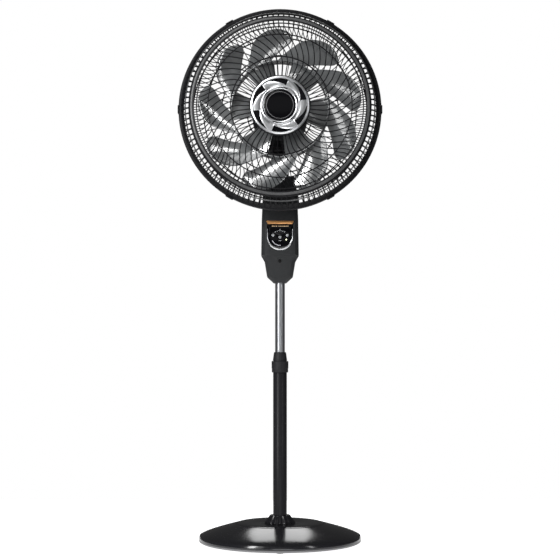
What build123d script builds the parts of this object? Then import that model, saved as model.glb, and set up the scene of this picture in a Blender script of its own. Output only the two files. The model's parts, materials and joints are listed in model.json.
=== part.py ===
"""Pedestal fan with a 400 mm blade sweep, on a telescopic pole and a round weighted base.

Millimetres. +Z is up and the fan blows towards -Y. The origin is on the floor, on the pole's axis.
The head's pieces are drawn in a frame of their own, on the rim's plane, with local z towards the
front, and to_head() puts them in place. Each piece is written to parts/ as its own STEP file.
"""

import math
import os

from build123d import *

# Driving dimensions
BASE_R = 200.0            # weighted base
CENTRE_R = 108.0          # raised disc in the middle of the base
BASE_TOP = 47.0
BASE_SCREW_R = 150.0      # circle of the tray's screws
SOCKET_TOP = 66.0
OUTER_TUBE_R = 17.0
INNER_TUBE_R = 12.0
COLLAR_Z = 428.0          # height collar, from its lower ring
COLLAR_SPLIT_Z = 446.0
COLLAR_TOP = 468.0
HOUSING_Z = 639.0         # bottom of the control housing
PANEL_Z = 752.0           # middle of the round end of the control panel
PANEL_R = 32.0
TILT_Z = 935.0            # tilt bolt's axis
HEAD_Z = 1053.0           # rotor's axis
RIM_Y = -115.0            # plane in which the two guards meet
GUARD_R = 245.0
BLADE_TIP_R = 200.0
SHAFT_R = 4.0

# Fits and walls
WALL = 2.6
RUNNING = 0.05            # radial clearance of a shaft in its bore
GAP = 0.3                 # clearance between neighbours that don't touch

# Counts
FOOT_COUNT = 6
BASE_SCREW_COUNT = 6
FLANGE_BOLT_COUNT = 4
INNER_RIBS = 54
OUTER_RIBS = 108
INNER_BLADES = 6
OUTER_BLADES = 9
CLIP_COUNT = 6

# Swing mechanism: the crank pin's throw makes half a turn over the whole swing
SWING_DEG = 35.0
CRANK_Y = 30.0            # crank axis, behind the swing axis
CRANK_THROW = CRANK_Y * math.sin(math.radians(SWING_DEG))
FIXED_PIN_X = 20.0
PIN_R = 1.6

PARTS = {}


def keep(name, shape):
    """Files a piece under its node name, as a single solid or a group of separate ones."""
    PARTS[name] = shape
    return shape


def turned(*points):
    """A solid of revolution about Z from (radius, height) points."""
    return revolve(Plane.XZ * Polygon(*points, align=None), Axis.Z)


def rod(radius, z0, z1, x=0.0, y=0.0):
    """An upright cylinder between two heights."""
    return Pos(x, y, (z0 + z1) / 2) * Cylinder(radius, z1 - z0)


def tube(outer, inner, z0, z1, x=0.0, y=0.0):
    """An upright tube between two heights."""
    return rod(outer, z0, z1, x, y) - rod(inner, z0 - 1, z1 + 1, x, y)


def block(x0, x1, y0, y1, z0, z1):
    """A box between two corners."""
    return Pos((x0 + x1) / 2, (y0 + y1) / 2, (z0 + z1) / 2) * Box(x1 - x0, y1 - y0, z1 - z0)


def facing(shape):
    """Turns a shape drawn with z towards the front so that its z points along -Y."""
    return Rot(90, 0, 0) * shape


def to_head(shape):
    """Puts a piece drawn in the head's frame in its place."""
    return Pos(0, RIM_Y, HEAD_Z) * Rot(90, 0, 0) * shape


def around(count, shape, first=0.0):
    """Copies of a shape at equal angles about Z."""
    return [shape.rotate(Axis.Z, first + k * 360 / count) for k in range(count)]


def group(solids):
    """Separate solids that share one node."""
    return Compound([solid for shape in solids for solid in shape.solids()])


# --- Base -------------------------------------------------------------------------------------

def base_cover():
    """The domed upper shell, with a step up to the raised disc and a hole for the pole flange."""
    outer = [(198.5, 15.8), (198, 18.5), (190, 22), (170, 28), (140, 35.5), (112, 40.5), (108.6, 41)]
    inner = [(r - 1.5, z - WALL) for r, z in reversed(outer[1:])]
    return turned(*outer, (CENTRE_R + 0.6, 36), (40, 36), (40, 33.4), *inner, (195.5, 15.8))


def centre_disc():
    """The raised disc that hides the flange and its bolts."""
    return turned((CENTRE_R, 36.2), (CENTRE_R, 45.5), (106, BASE_TOP), (37, BASE_TOP), (37, 44.4),
                  (104, 44.4), (104, 36.2))


def base_tray():
    """The grey lower tray, whose rim shows under the dome."""
    return turned((19, 3), (196, 3), (199.4, 6), (BASE_R, 9), (BASE_R, 15), (193, 15), (193, 13),
                  (196.5, 13), (196.5, 9), (194, 5.6), (19, 5.6)).cut(*base_screw_holes())


def base_weight():
    """The cast ring that keeps the fan upright."""
    return turned((62, 6), (172, 6), (172, 12), (156, 14.5), (62, 14.5)).cut(*base_screw_holes())


def base_screw_holes():
    """Holes for the screws that join tray and weight."""
    return around(BASE_SCREW_COUNT, rod(1.95, -1, 14.5, BASE_SCREW_R))


def base_feet():
    """Rubber pads under the tray."""
    pad = turned((0, 0), (9, 0), (10, 1), (10, 2.9), (0, 2.9))
    return group(around(FOOT_COUNT, Pos(172, 0, 0) * pad, 30))


def base_screws():
    """Screws through the tray into the weight."""
    screw = rod(3.6, 1.4, 2.95, BASE_SCREW_R) + rod(1.9, 2.95, 14, BASE_SCREW_R)
    return group(around(BASE_SCREW_COUNT, screw))


def pole_flange():
    """The pressed steel plate and sleeve that hold the outer tube."""
    plate = rod(52, 24.2, 27.2) + rod(OUTER_TUBE_R + 3, 27.2, 40)
    plate -= rod(OUTER_TUBE_R + RUNNING, 20, 45)
    for hole in around(FLANGE_BOLT_COUNT, rod(3.1, 20, 30, 38), 45):
        plate -= hole
    return plate


def flange_bolts():
    """Hexagon bolts that pull the flange down on its spacers."""
    head = Pos(38, 0, 27.2) * extrude(RegularPolygon(5.5, 6), 4)
    bolt = head + rod(2.9, 6.2, 27.3, 38)
    return group(around(FLANGE_BOLT_COUNT, bolt, 45))


def pole_socket():
    """The cone at the foot of the pole."""
    return turned((36, BASE_TOP + 0.1), (36, 48.5), (33, 52), (24.5, 65), (23.5, SOCKET_TOP),
                  (OUTER_TUBE_R + 0.1, SOCKET_TOP), (OUTER_TUBE_R + 0.1, 44.6), (30, 44.6),
                  (30, BASE_TOP + 0.1))


def outer_tube():
    """The lower, painted tube."""
    return tube(OUTER_TUBE_R, OUTER_TUBE_R - 1.4, 24, COLLAR_Z - 0.2)


def collar_ring():
    """The threaded ring fixed to the top of the outer tube."""
    skirt = tube(20.8, OUTER_TUBE_R + 0.1, COLLAR_Z - 10, COLLAR_SPLIT_Z)
    skirt = skirt - tube(30, 20.2, COLLAR_Z - 11, COLLAR_Z)
    return skirt + tube(15.4, 13.9, COLLAR_SPLIT_Z - 18, COLLAR_SPLIT_Z + 12) \
        + tube(OUTER_TUBE_R + 0.2, 13.9, COLLAR_Z, COLLAR_SPLIT_Z)


def tube_collet():
    """The split plastic sleeve that the lock nut squeezes on the inner tube."""
    sleeve = tube(13.8, INNER_TUBE_R + RUNNING, COLLAR_Z + 2, COLLAR_TOP - 6)
    return sleeve - block(0, 20, -0.8, 0.8, COLLAR_Z + 8, COLLAR_TOP)


def height_nut():
    """The conical nut that locks the height."""
    nut = turned((17.5, COLLAR_SPLIT_Z + GAP), (17.5, 449), (14.9, COLLAR_TOP - 1),
                 (14.2, COLLAR_TOP), (INNER_TUBE_R + 0.1, COLLAR_TOP), (INNER_TUBE_R + 0.1, 463),
                 (13.9, 462.4), (13.9, 459), (15.5, 458.4), (15.5, COLLAR_SPLIT_Z + GAP))
    for groove in around(12, rod(0.7, 440, 470, 17.6)):
        nut -= groove
    return nut


# --- Mast ---------------------------------------------------------------------------------------

def inner_tube():
    """The chromed tube that slides in the outer one."""
    pipe = tube(INNER_TUBE_R, INNER_TUBE_R - 1.2, 240, 700)
    return pipe - facing(Pos(0, 693, 12) * Cylinder(2.05, 10))


def tube_bush():
    """The plug that guides the inner tube's lower end in the outer tube."""
    return tube(OUTER_TUBE_R - 1.4 - RUNNING, 8, 236, 240) + tube(10.75, 8, 240, 256)


def housing_section(z, half_width, front, back, corner, inset=0.0):
    """One rounded level of the control housing."""
    middle = (front + back) / 2
    flat = RectangleRounded(2 * (half_width - inset), back - front - 2 * inset, corner - inset)
    return Pos(0, middle, z) * flat


HOUSING_LEVELS = [
    (HOUSING_Z, 15.5, -15.5, 15.5, 9), (654, 31.5, -22, 24, 10), (693, 38.5, -27, 28, 11),
    (707, 46.5, -31, 30, 12), (800, 45, -30, 30, 12), (860, 43, -21, 26, 12), (905, 36, -20, 24, 12),
]


def housing_body(inset):
    """The housing's outside, or its hollow where the inset is the wall."""
    levels = [list(level) for level in HOUSING_LEVELS]
    levels[0][0] += inset
    levels[-1][0] -= inset
    return loft([housing_section(*level, inset) for level in levels], ruled=True)


def panel_outline(radius, top):
    """The panel's shape: square at the top and round at the bottom."""
    low = Pos(0, PANEL_Z) * Circle(radius)
    return low + Pos(0, (PANEL_Z + top) / 2) * Rectangle(2 * radius, top - PANEL_Z)


PANEL_TOP = 783.0
KEY_PLACES = {"key_power": (0, 751.5), "key_timer": (-17.5, 756), "key_swing": (17.5, 756)}
KEY_R = 5.2
LED_PLACE = (15.5, 745.5)


def housing_shell():
    """The whole housing before it is parted into its front and rear halves."""
    shell = housing_body(0) - housing_body(WALL)
    shell -= rod(INNER_TUBE_R + 0.1, 630, 650)
    shell -= block(-22.3, 22.3, -16.3, 16.3, 898, 910)
    shell -= facing(Pos(0, 0, 20) * extrude(panel_outline(PANEL_R + 0.1, PANEL_TOP + 0.1), 20))
    shell -= facing(Pos(0, 693, 20) * Cylinder(4.4, 40))
    return shell


def housing_front(shell):
    """Front half of the housing, with screw bosses."""
    half = shell & block(-60, 60, -60, -0.1, 600, 950)
    for x, z in HOUSING_BOSSES:
        half += facing(Pos(x, z, 0.1) * extrude(Circle(4), 40)) & housing_body(0.5)
        half -= facing(Pos(x, z, 0) * Cylinder(1.3, 24))
    return half


HOUSING_BOSSES = [(-30, 715), (30, 715), (-30, 850), (30, 850)]


def housing_rear(shell):
    """Rear half of the housing, with the lead's hole and the screws' holes."""
    half = shell & block(-60, 60, 0.1, 60, 600, 950)
    for x, z in HOUSING_BOSSES:
        half -= facing(Pos(x, z, -20) * Cylinder(1.9, 40))
    half -= facing(Pos(0, 672, -20) * Cylinder(5.1, 40))
    return half


def housing_screws():
    """Four screws from the back of the housing into the front half."""
    screws = []
    for x, z in HOUSING_BOSSES:
        seat = 30.1 if z < PANEL_Z else 27.0
        shank = Pos(x, z, -seat) * extrude(Circle(1.25), seat + 11)
        head = Pos(x, z, -seat - 2.8) * extrude(Circle(3.4), 2.8)
        screws.append(facing(shank + head))
    return group(screws)


def tube_screw():
    """The screw at the housing's foot that pins it to the inner tube."""
    screw = Cylinder(4.2, 3) + Pos(0, 0, -8) * Cylinder(2, 13)
    return facing(Pos(0, 693, 24.4) * screw)


def tube_clamp():
    """The saddle inside the housing that holds the inner tube."""
    saddle = block(-20, 20, -14.5, 14.5, 668, 700) - rod(INNER_TUBE_R + 0.02, 660, 705)
    return saddle - facing(Pos(0, 693, 15) * Cylinder(2.05, 60))


def panel_fascia():
    """The gloss panel with openings for the keys and the lamp."""
    face = panel_outline(PANEL_R - 4.6, PANEL_TOP - 1)
    for x, z in KEY_PLACES.values():
        face -= Pos(x, z) * Circle(KEY_R + 0.25)
    face -= Pos(*LED_PLACE) * Circle(1.6)
    return facing(Pos(0, 0, 28.8) * extrude(face, 3.2))


def panel_trim():
    """The chromed U round the panel's lower edge."""
    ring = Circle(PANEL_R) - Circle(PANEL_R - 4.5)
    strips = [Pos(side * (PANEL_R - 2.25), 15) * Rectangle(4.5, 30) for side in (-1, 1)]
    u_shape = ring - Pos(0, 40) * Rectangle(80, 80)
    for strip in strips:
        u_shape += strip
    return facing(Pos(0, PANEL_Z, 28.8) * extrude(u_shape, 4.2))


def accent_bar():
    """The copper bar above the panel."""
    bar = Polygon((-34.5, 792), (-30.5, 784), (30.5, 784), (34.5, 792), align=None)
    return facing(Pos(0, 0, 30.6) * extrude(bar, 2.2))


def control_board():
    """The printed board behind the panel with its key switches."""
    board = Pos(0, 753) * Rectangle(50, 44)
    solid = facing(Pos(0, 0, 21) * extrude(board, 1.6))
    for x, z in KEY_PLACES.values():
        solid += facing(Pos(x, z, 22.6) * extrude(Rectangle(6, 6), 2.4))
    return solid


def power_board():
    """Power board with its transformer, lower in the housing."""
    board = block(-25, 25, 14, 15.6, 712, 790)
    return board + block(-20, 8, 0, 14, 722, 752) + block(12, 26, 4, 14, 760, 782)


def led_lens():
    """The small lamp of the panel."""
    return facing(Pos(LED_PLACE[0], LED_PLACE[1], 22.8) * extrude(Circle(1.5), 9.6))


def cord_gland():
    """Bush for the lead at the foot of the rear half."""
    gland = Cylinder(5, 12) + Pos(0, 0, -5) * Cylinder(7, 2.4) - Cylinder(3.2, 60)
    return facing(Pos(0, 672, -26.5) * gland)


def key(place):
    """A round key cap with a stem over its switch."""
    x, z = place
    cap = Pos(0, 0, 29.6) * extrude(Circle(KEY_R), 2.7) + Pos(0, 0, 26) * extrude(Circle(1.8), 3.7)
    return facing(Pos(x, z, 0) * cap)


def tilt_fork():
    """The fork in the top of the housing that carries the head."""
    root = block(-15, 15, -16, 16, 880, 912)
    hole = Pos(0, 0, TILT_Z) * Rot(0, 90, 0) * Cylinder(4.0, 80)
    ears = []
    for side in (-1, 1):
        ear = Pos(side * 19, 0, TILT_Z) * Rot(0, 90, 0) * Cylinder(17, 6)
        foot = block(side * 19 - 3, side * 19 + 3, -14, 14, 880, TILT_Z)
        ears.append(ear + foot)
    fork = root + ears[0] + ears[1] + block(-22, 22, -14, 14, 880, 897)
    return fork - hole


def tilt_bolt():
    """Bolt and nut of the tilt."""
    bolt = Rot(0, 90, 0) * Cylinder(4.0, 52)
    head = Pos(24.6, 0, 0) * Rot(0, 90, 0) * extrude(RegularPolygon(6.5, 6), 5)
    nut = Pos(-22.3, 0, 0) * Rot(0, -90, 0) * extrude(RegularPolygon(6.5, 6), 5)
    head = Pos(-2.3, 0, 0) * head
    return Pos(0, 0, TILT_Z) * (bolt + head + nut)


# --- Tilt and swing ---------------------------------------------------------------------------

def tilt_knuckle():
    """The barrel that tilts in the fork, with the plate that the head turns on."""
    barrel = Pos(0, 0, TILT_Z) * Rot(0, 90, 0) * Cylinder(15, 31)
    body = barrel + block(-14, 14, -11, 11, TILT_Z, 958) + rod(26, 957, 964)
    body -= Pos(0, 0, TILT_Z) * Rot(0, 90, 0) * Cylinder(4.0 + RUNNING, 80)
    return body - rod(7, 951, 970)


def swing_post():
    """The upright post with the fixed arm that the link pulls on."""
    post = rod(7, 951, 983)
    arm = rod(11, 971.2, 974)
    reach = math.hypot(FIXED_PIN_X, CRANK_Y - CRANK_THROW)
    angle = math.degrees(math.atan2(CRANK_Y - CRANK_THROW, FIXED_PIN_X))
    finger = Rot(0, 0, angle) * (block(0, reach, -4, 4, 971.2, 974) + rod(4, 971.2, 974, reach))
    pin = rod(PIN_R, 973, 978, FIXED_PIN_X, CRANK_Y - CRANK_THROW)
    return post + arm + finger + pin


def swing_crank():
    """The gear motor's output shaft, disc and crank pin."""
    disc = rod(CRANK_THROW + 4, 978.5, 981.5, 0, CRANK_Y)
    shaft = rod(2.5, 981, 990, 0, CRANK_Y)
    return disc + shaft + rod(PIN_R, 974.2, 979, 0, CRANK_Y - CRANK_THROW)


def swing_link():
    """The flat link between crank pin and fixed pin, whose far eye is a wide slot."""
    y = CRANK_Y - CRANK_THROW
    bar = block(0, FIXED_PIN_X, y - 3.5, y + 3.5, 974.8, 977.2) + rod(4, 974.8, 977.2, 0, y)
    plate = block(FIXED_PIN_X - 7.2, FIXED_PIN_X + 7.2, y - 16.5, y + 5, 974.8, 977.2)
    slot = block(FIXED_PIN_X - 5.2, FIXED_PIN_X + 5.2, y - 14.2, y + 2.6, 970, 980)
    return bar + plate - slot - rod(PIN_R + RUNNING, 970, 980, 0, y)


# --- Head ---------------------------------------------------------------------------------------

def swing_pan():
    """The pan under the motor housing that covers the swing mechanism."""
    tall = Pos(0, 15, 966) * extrude(RectangleRounded(88, 112, 20), 30)
    hollow = Pos(0, 15, 968.6) * extrude(RectangleRounded(88 - 2 * WALL, 112 - 2 * WALL, 18), 30)
    lower = (tall - hollow) & block(-60, 60, -60, 90, 966, 996)
    lower -= motor_silhouette(0.2)
    lower -= rod(10, 960, 970)
    return lower.solids().sort_by(SortBy.VOLUME)[-1]


def motor_silhouette(extra):
    """The motor housing's outside as a solid."""
    front = [(0, -67 + extra), (58 + extra, -67 + extra), (67 + extra, -78), (68.5 + extra, -100)]
    rear = [(68.5 + extra, -150), (64 + extra, -180), (52 + extra, -196), (38, -200 - extra),
            (0, -200 - extra)]
    return to_head(turned(*front, *rear))


def belly_opening():
    """The opening in the motor housing over the pan."""
    return block(-27, 27, -20, 60, 960, 1003)


def motor_housing_front():
    """Front cover of the motor, with the hole for the spigot."""
    shell = turned((21, -67), (58, -67), (67, -78), (68.5, -100), (68.5, -130), (65.9, -130),
                   (65.9, -100), (64.4, -79), (57, -69.6), (21, -69.6))
    return to_head(shell) - belly_opening()


def motor_housing_rear():
    """Rear cover of the motor, with cooling slots."""
    shell = turned((68.5, -130.4), (68.5, -150), (64, -180), (52, -196), (38, -200), (0, -200),
                   (0, -197.4), (37, -197.4), (50.5, -193.8), (61.4, -179), (65.9, -150),
                   (65.9, -130.4))
    slot = Pos(0, 0, -192) * extrude(Pos(31, 0) * Rectangle(24, 3), 40, both=True)
    for cut in around(18, slot, 10):
        shell -= cut
    return to_head(shell) - belly_opening()


def swing_bush():
    """Plain bush between the pan and the swing post."""
    flange = tube(12, 7 + RUNNING, 964.3, 966)
    return tube(10, 7 + RUNNING, 966, 969) + flange


def swing_motor():
    """The slow gear motor that drives the crank."""
    can = rod(22, 984, 999, 0, CRANK_Y + 2)
    ears = block(-30, 30, CRANK_Y - 4, CRANK_Y + 8, 997, 999) - rod(21.5, 990, 1000, 0, CRANK_Y + 2)
    return can + ears - rod(2.5 + RUNNING, 980, 991, 0, CRANK_Y)


def motor_bracket_front():
    """Cast front bracket with its bearing seat and the threaded spigot."""
    body = turned((10.1, -50), (20, -50), (20, -70), (47, -72), (49.5, -76), (49.5, -99.9),
                  (46.5, -99.9), (46.5, -77), (20, -75), (15, -90), (10.1, -90))
    for cut in around(6, Pos(33, 0, -74) * Cylinder(8.5, 20)):
        body -= cut
    return to_head(body)


def motor_bracket_rear():
    """Cast rear bracket with its bearing seat."""
    body = turned((10.1, -146), (15, -146), (20, -160), (46.5, -158), (46.5, -135.1),
                  (49.5, -135.1), (49.5, -159.5), (47, -163), (20, -165), (10.1, -165))
    for cut in around(6, Pos(33, 0, -160) * Cylinder(8.5, 20)):
        body -= cut
    return to_head(body)


def stator_core():
    """The laminated ring with its sixteen winding slots."""
    ring = Pos(0, 0, -117.5) * (Cylinder(46, 35) - Cylinder(24.2, 36))
    for slot in around(16, Pos(31.5, 0, -117.5) * Box(12, 4.2, 40)):
        ring -= slot
    return to_head(ring)


def stator_windings():
    """End turns of the windings, one ring at each end of the stator."""
    front = turned((27, -99.8), (42, -99.8), (41, -90), (36, -86), (29, -88))
    rear = turned((27, -135.2), (42, -135.2), (41, -145), (36, -149), (29, -147))
    return to_head(group([front, rear]))


def bearing(z0, z1):
    """A sleeve bearing of the motor shaft."""
    return to_head(tube(10, SHAFT_R + RUNNING, z0, z1))


def blend_twist(r):
    """How far the swirl has turned a rib at a radius, in degrees."""
    start, end, turn = 98.0, 202.0, 21.0
    t = min(1.0, max(0.0, (r - start) / (end - start)))
    return turn * t * t * (3 - 2 * t)


def rib_window(r0, r1, count, rib, twist):
    """One opening between two ribs and two rings, as a prism."""
    pitch = 360 / count

    def corner(r, angle):
        return (r * math.cos(math.radians(angle)), r * math.sin(math.radians(angle)))

    def sides(r):
        half = math.degrees(rib / 2 / r)
        return twist(r) + half, twist(r) + pitch / 2, twist(r) + pitch - half

    (a0, m0, b0), (a1, m1, b1) = sides(r0), sides(r1)
    edges = [
        Line(corner(r0, a0), corner(r1, a1)).edge(),
        ThreePointArc(corner(r1, a1), corner(r1, m1), corner(r1, b1)).edge(),
        Line(corner(r1, b1), corner(r0, b0)).edge(),
        ThreePointArc(corner(r0, b0), corner(r0, m0), corner(r0, a0)).edge(),
    ]
    return extrude(make_face(edges), 100, both=True)


def pierced(shell, rows, rib, twist):
    """The shell with rows of openings; each row is (inner radius, outer radius, ribs)."""
    tools = []
    for r0, r1, count in rows:
        tools += around(count, rib_window(r0, r1, count, rib, twist))
    return shell.cut(*tools)


GUARD_FRONT = [(68, 58), (116.5, 60), (142, 59.5), (171, 58), (198, 57), (207, 57), (215, 54),
               (227, 42), (238, 11)]
GUARD_REAR = [(54, -63.5), (80, -63), (145, -58), (187, -51), (213, -42), (229, -27), (238, -8)]


def front_guard():
    """Front grille with swirled ribs, its rings and its outer rim."""
    inner = [(r - (2.6 if r > 210 else 0), z - WALL) for r, z in reversed(GUARD_FRONT)]
    rim = [(243.5, 9), (GUARD_R, 6), (GUARD_R, 0.2), (233, 0.2), (233, 8)]
    shell = turned(*GUARD_FRONT, *rim, *inner[1:])
    rows = [(72, 115, INNER_RIBS), (118, 169.8, INNER_RIBS), (172.2, 196.5, OUTER_RIBS),
            (198.5, 206.5, OUTER_RIBS), (214.5, 226, OUTER_RIBS), (228, 232.4, OUTER_RIBS)]
    return to_head(pierced(shell, rows, 2.6, blend_twist))


def rear_guard():
    """Rear grille with straight ribs and the plate that bolts to the motor."""
    inner = [(r - (2.6 if r > 200 else 0), z + WALL) for r, z in reversed(GUARD_REAR)]
    rim = [(243.5, -7), (243.5, -0.2), (234, -0.2), (234, -6)]
    hub = [(20.6, -61), (20.6, -66.8), (50, -66.8)]
    shell = turned(*hub, *GUARD_REAR, *rim, *inner)
    rows = [(60, 79, INNER_RIBS), (81.5, 144, INNER_RIBS), (146.5, 186, INNER_RIBS),
            (188.5, 212, OUTER_RIBS), (214.5, 228, OUTER_RIBS)]
    return to_head(pierced(shell, rows, 2.8, lambda r: 0.0))


def guard_nut():
    """The ring nut that clamps the rear guard to the motor."""
    nut = turned((20.1, -60.9), (34, -60.9), (34, -56), (28, -51), (20.1, -51))
    for notch in around(8, rod(3, -70, -40, 35.5)):
        nut -= notch
    return to_head(nut)


def guard_clips():
    """Snap clips that close the two halves of the rim."""
    clip = Pos(GUARD_R - 0.4, 0, 0) * Box(5.2, 20, 20) - tube(GUARD_R + 0.05, 200, -7, 9.0)
    clip -= tube(243.7, 200, -7.4, 0)
    clip = clip & rod(GUARD_R + 2.0, -9, 10.5)
    keep_out = turned(*GUARD_FRONT, (244, 9.2), (GUARD_R + 0.05, 6), (GUARD_R + 0.05, -0.1),
                      (243.7, -0.1), (243.7, -7.4), (200, -7.4))
    return to_head(group(around(CLIP_COUNT, (clip - keep_out).solids().sort_by(SortBy.VOLUME)[-1])))


def hub_trim():
    """The chromed ring in the grille's middle, with six curved windows."""
    ring = turned((40, 61.6), (40, 63.5), (47, 63.5), (63, 64.5), (66, 66), (69.5, 65), (70.5, 62),
                  (70.5, 58.2), (68.2, 58.2), (68, 60.6))

    def window_angle(r):
        return -1.4 * (r - 50)

    return to_head(pierced(ring, [(51.5, 62.5, 6)], 9.0, window_angle))


def hub_disc():
    """The black disc and the dish behind the chromed ring."""
    dish = turned((0, 58.5), (67.7, 58.1), (66.5, 60.3), (39.8, 61.3), (39.8, 63), (36, 64.5),
                  (34, 63.4), (0, 65))
    return to_head(dish)


def motor_shaft():
    """The steel shaft from the rear bearing to the blade nut."""
    return to_head(rod(SHAFT_R, -166, 36))


def rotor_core():
    """The motor's squirrel cage."""
    return to_head(tube(23.8, SHAFT_R, -135, -100) + tube(9, SHAFT_R, -144, -91))


def blade_slab(low_deg, high_deg, z0, z1, thickness):
    """A sloping slab between two angles, from which a blade is trimmed."""
    near = Plane.XZ * (Pos(160, z0) * Rectangle(280, thickness))
    far = Plane.XZ * (Pos(160, z1) * Rectangle(280, thickness))
    return loft([Rot(0, 0, low_deg) * near, Rot(0, 0, high_deg) * far], ruled=True)


def point(radius, deg):
    return (radius * math.cos(math.radians(deg)), radius * math.sin(math.radians(deg)))


def outer_blade():
    """One swept outer blade, with its rounded tip leading."""
    leading = Spline(point(116, 103.4), point(150, 89.5), point(185, 81.8), point(196, 84.6))
    tip = ThreePointArc(point(196, 84.6), point(BLADE_TIP_R - 0.2, 91), point(197, 97.6))
    trailing = Spline(point(197, 97.6), point(185, 105.6), point(165, 114.4), point(116, 132.6))
    root = Line(point(116, 132.6), point(116, 103.4))
    outline = make_face([leading.edge(), tip.edge(), trailing.edge(), root.edge()])
    return blade_slab(76, 138, -27, 27, 2.2) & extrude(outline, 60, both=True)


def inner_blade():
    """One of the blades between hub and ring."""
    edges = [Line(point(46, 97), point(117, 97)).edge(), Line(point(117, 97), point(117, 134.5)).edge(),
             Line(point(117, 134.5), point(46, 134.5)).edge(),
             Line(point(46, 134.5), point(46, 97)).edge()]
    outline = make_face(edges)
    return blade_slab(96, 136, -19, 19, 2.2) & extrude(outline, 60, both=True)


def fan_blades():
    """Hub, inner blades, ring and outer blades in one moulding."""
    hub = turned((SHAFT_R, -14), (12, -14), (12, 17), (45.5, 17), (45.5, -24), (48, -24), (48, 17),
                 (44, 20), (SHAFT_R, 20))
    ring = tube(118, 115, -22, 22)
    inner = around(INNER_BLADES, inner_blade())
    outer = around(OUTER_BLADES, outer_blade())
    core = tube(116, 47, -70, 70)
    inner = [blade & core for blade in inner]
    skirt = tube(BLADE_TIP_R, 117, -70, 70)
    outer = [blade & skirt for blade in outer]
    return to_head(hub.fuse(ring, *[solid for blade in inner + outer for solid in blade.solids()]))


def blade_nut():
    """The left-hand nut that holds the blades on the shaft."""
    nut = turned((0, 44), (9, 44), (13, 40), (16, 26), (19, 20.2), (SHAFT_R, 20.2), (SHAFT_R, 36),
                 (0, 36))
    for notch in around(8, rod(1.6, 10, 50, 18.6)):
        nut -= notch
    return to_head(nut)


# --- All pieces -----------------------------------------------------------------------------------

def build_base():
    keep("base_cover", base_cover())
    keep("centre_disc", centre_disc())
    keep("base_tray", base_tray())
    keep("base_weight", base_weight())
    keep("base_feet", base_feet())
    keep("base_screws", base_screws())
    keep("pole_flange", pole_flange())
    keep("flange_bolts", flange_bolts())
    keep("pole_socket", pole_socket())
    keep("outer_tube", outer_tube())
    keep("collar_ring", collar_ring())
    keep("tube_collet", tube_collet())
    keep("height_nut", height_nut())


def build_mast():
    shell = housing_shell()
    keep("inner_tube", inner_tube())
    keep("tube_bush", tube_bush())
    keep("housing_front", housing_front(shell))
    keep("housing_rear", housing_rear(shell))
    keep("housing_screws", housing_screws())
    keep("tube_screw", tube_screw())
    keep("tube_clamp", tube_clamp())
    keep("panel_fascia", panel_fascia())
    keep("panel_trim", panel_trim())
    keep("accent_bar", accent_bar())
    keep("control_board", control_board())
    keep("power_board", power_board())
    keep("led_lens", led_lens())
    keep("cord_gland", cord_gland())
    keep("tilt_fork", tilt_fork())
    keep("tilt_bolt", tilt_bolt())
    for name, place in KEY_PLACES.items():
        keep(name, key(place))


def build_tilt_and_swing():
    keep("tilt_knuckle", tilt_knuckle())
    keep("swing_post", swing_post())
    keep("swing_crank", swing_crank())
    keep("swing_link", swing_link())


def build_head():
    keep("swing_pan", swing_pan())
    keep("swing_bush", swing_bush())
    keep("swing_motor", swing_motor())
    keep("motor_housing_front", motor_housing_front())
    keep("motor_housing_rear", motor_housing_rear())
    keep("motor_bracket_front", motor_bracket_front())
    keep("motor_bracket_rear", motor_bracket_rear())
    keep("stator_core", stator_core())
    keep("stator_windings", stator_windings())
    keep("front_bearing", bearing(-84, -72))
    keep("rear_bearing", bearing(-164, -152))
    keep("guard_nut", guard_nut())
    keep("guard_clips", guard_clips())
    keep("hub_trim", hub_trim())
    keep("hub_disc", hub_disc())
    keep("front_guard", front_guard())
    keep("rear_guard", rear_guard())


def build_rotor():
    keep("motor_shaft", motor_shaft())
    keep("rotor_core", rotor_core())
    keep("fan_blades", fan_blades())
    keep("blade_nut", blade_nut())


build_base()
build_mast()
build_tilt_and_swing()
build_head()
build_rotor()

os.makedirs("parts", exist_ok=True)
for name, shape in PARTS.items():
    export_step(shape, f"parts/{name}.step")
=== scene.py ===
"""Looks of a pedestal fan.

Laid out as a Blender add-on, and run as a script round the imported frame.
"""

import json
import math

import bpy
from mathutils import Matrix, Vector


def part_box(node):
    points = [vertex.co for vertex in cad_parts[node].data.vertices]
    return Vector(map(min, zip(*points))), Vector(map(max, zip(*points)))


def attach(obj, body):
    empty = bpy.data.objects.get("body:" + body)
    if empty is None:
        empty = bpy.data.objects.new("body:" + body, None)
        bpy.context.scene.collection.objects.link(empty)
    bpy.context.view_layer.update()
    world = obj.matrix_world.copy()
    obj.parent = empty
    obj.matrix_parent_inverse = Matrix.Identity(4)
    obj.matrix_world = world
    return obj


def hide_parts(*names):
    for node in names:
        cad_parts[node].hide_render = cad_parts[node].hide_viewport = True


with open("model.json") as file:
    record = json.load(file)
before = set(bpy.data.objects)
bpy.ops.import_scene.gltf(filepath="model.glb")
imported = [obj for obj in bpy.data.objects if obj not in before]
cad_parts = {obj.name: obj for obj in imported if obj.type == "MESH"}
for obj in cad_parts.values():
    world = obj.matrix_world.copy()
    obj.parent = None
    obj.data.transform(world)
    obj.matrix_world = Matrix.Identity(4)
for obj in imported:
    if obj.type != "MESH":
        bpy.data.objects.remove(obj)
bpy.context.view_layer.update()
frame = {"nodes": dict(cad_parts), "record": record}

bl_info = {
    "name": "Pedestal Fan",
    "version": (1, 0, 0),
    "blender": (4, 5, 0),
    "location": "View3D > Sidebar > Fan",
    "description": "Builds the visible pieces of a pedestal fan round its frame",
    "category": "Object",
}

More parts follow.
